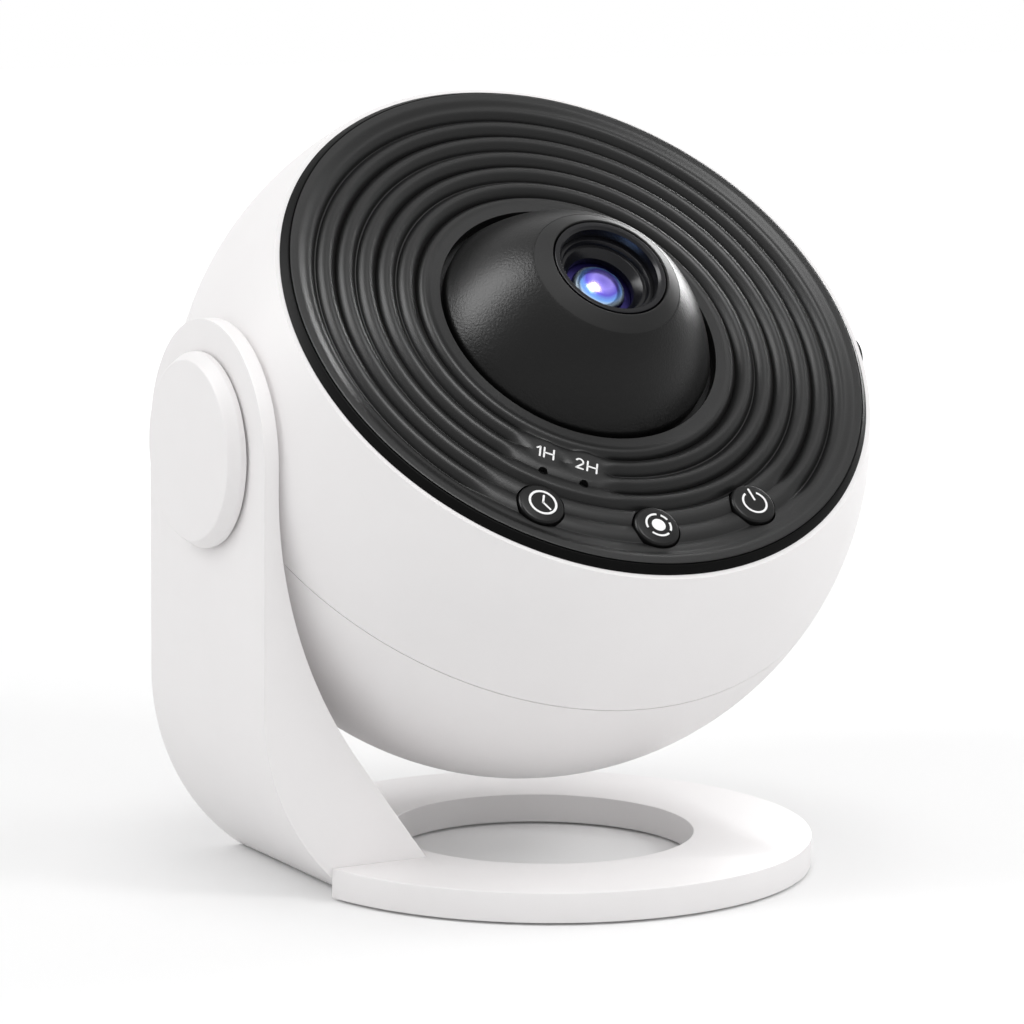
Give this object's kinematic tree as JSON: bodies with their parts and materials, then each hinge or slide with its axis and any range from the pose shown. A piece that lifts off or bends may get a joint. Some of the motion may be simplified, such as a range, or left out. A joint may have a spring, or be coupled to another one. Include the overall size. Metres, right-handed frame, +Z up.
{
  "type": "planetarium projector",
  "caption": "Ball-shaped home planetarium projector: rippled face with a focusing lens cone, push buttons and a film tray, carried on one side by a curved arm over a flat ring base.",
  "frame": {"origin": "on the table, under the middle of the overall size", "axes": "+X along the pivot from the arm towards the film tray's knob, +Y away from the side that the lens leans towards, +Z up"},
  "size_m": [0.1454, 0.138, 0.1514],
  "materials": {
    "white_plastic": "satin",
    "charcoal_plastic": "fine matte texture",
    "black_plastic": "satin",
    "inner_plastic": "matte",
    "dark_part": "matte",
    "steel": "plated",
    "brass": "turned",
    "rubber": "matte",
    "aluminium": "extruded",
    "lens_glass": "coated",
    "film": "gloss",
    "circuit_board": "varnished",
    "white_board": "varnished",
    "light_chip": "gloss"
  },
  "bodies": {
    "stand": {"base_ring": "white_plastic", "arm": "white_plastic", "arm_screws": "steel", "foot_pads": "rubber", "pivot_bush": "brass", "friction_washer": "inner_plastic", "wave_washer": "steel", "pivot_cap": "white_plastic"},
    "head": {"lower_shell": "white_plastic", "upper_shell": "white_plastic", "bezel_ring": "black_plastic", "face_plate": "charcoal_plastic", "shell_screws": "steel", "chassis": "inner_plastic", "pivot_hub": "inner_plastic", "pivot_shaft": "steel", "pivot_nut": "steel", "film_guides": "inner_plastic", "guide_screws": "steel", "lens_tube": "inner_plastic", "tube_screws": "steel", "condenser_holder": "inner_plastic", "condenser_lens": "lens_glass", "light_board": "white_board", "light_source": "light_chip", "heat_sink": "aluminium", "heat_sink_posts": "brass", "main_board": "circuit_board", "board_posts": "brass", "board_parts": "dark_part", "power_socket": "steel", "key_board": "circuit_board", "key_board_screws": "steel", "key_switches": "dark_part", "timer_lights": "white_board", "light_pipes": "dark_part"},
    "focus": {"focus_cone": "black_plastic"},
    "barrel": {"lens_barrel": "black_plastic", "front_lens": "lens_glass", "rear_lens": "lens_glass", "lens_retainer": "black_plastic", "drive_pins": "steel"},
    "tray": {"film_tray": "inner_plastic", "film_disc": "film", "film_frame": "inner_plastic", "tray_knob": "black_plastic", "knob_screw": "steel"},
    "timer_key": {"timer_button": "black_plastic"},
    "light_key": {"light_button": "black_plastic"},
    "power_key": {"power_button": "black_plastic"}
  },
  "joints": [
    {"name": "head_tilt", "type": "hinge", "parent": "stand", "child": "head", "pos_m": [0.0008, -0.00095, 0.085], "axis": [1, 0, 0], "continuous": true},
    {"name": "focus_turn", "type": "hinge", "parent": "head", "child": "focus", "pos_m": [0.0008, -0.00095, 0.085], "axis": [0, -0.6972, 0.7169], "range_deg": [-90, 90]},
    {"name": "barrel_slide", "type": "slide", "parent": "head", "child": "barrel", "axis": [0, -0.6972, 0.7169], "range_m": [-0.0015, 0.0015]},
    {"name": "tray_slide", "type": "slide", "parent": "head", "child": "tray", "axis": [1, 0, 0], "range_m": [0, 0.086]},
    {"name": "timer_press", "type": "slide", "parent": "head", "child": "timer_key", "axis": [0, 0.6972, -0.7169], "range_m": [0, 0.0006], "stiffness_N_per_m": 1500, "springref_m": -0.0006},
    {"name": "light_press", "type": "slide", "parent": "head", "child": "light_key", "axis": [0, 0.6972, -0.7169], "range_m": [0, 0.0006], "stiffness_N_per_m": 1500, "springref_m": -0.0006},
    {"name": "power_press", "type": "slide", "parent": "head", "child": "power_key", "axis": [0, 0.6972, -0.7169], "range_m": [0, 0.0006], "stiffness_N_per_m": 1500, "springref_m": -0.0006}
  ],
  "couplings": [
    {"joint": "barrel_slide", "follows": "focus_turn", "m_per_rad": 0.00095493}
  ]
}
